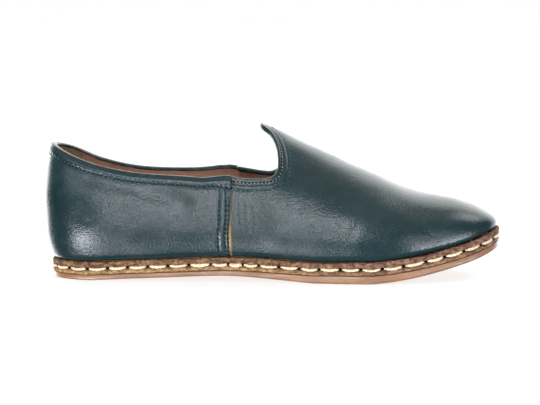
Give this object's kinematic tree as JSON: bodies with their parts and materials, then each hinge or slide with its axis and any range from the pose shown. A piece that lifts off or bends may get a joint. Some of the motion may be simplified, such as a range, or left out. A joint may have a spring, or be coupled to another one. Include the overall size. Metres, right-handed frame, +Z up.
{
  "type": "loafer",
  "caption": "Slip-on leather shoe for the left foot, hollow upper with rolled collar and throat, on a stitched sole of three layers with arch and toe spring.",
  "frame": {"origin": "middle of the footprint's bounding box, on the plane that the heel and forefoot stand on", "axes": "+X from heel to toe, +Y from the medial to the lateral side, +Z up"},
  "size_m": [0.2622, 0.09, 0.0877],
  "materials": {
    "upper_leather": "semi-gloss, fine grain",
    "lining_leather": "matt",
    "insole_leather": "satin",
    "welt_leather": "raw, fibrous",
    "midsole_leather": "raw cut edge",
    "outsole": "satin",
    "thread": "waxed"
  },
  "bodies": {
    "root": {"outsole": "outsole", "midsole": "midsole_leather", "welt": "welt_leather", "insole": "insole_leather", "upper": "upper_leather", "quarter": "upper_leather", "collar_band": "upper_leather", "throat_binding": "upper_leather"}
  },
  "joints": []
}
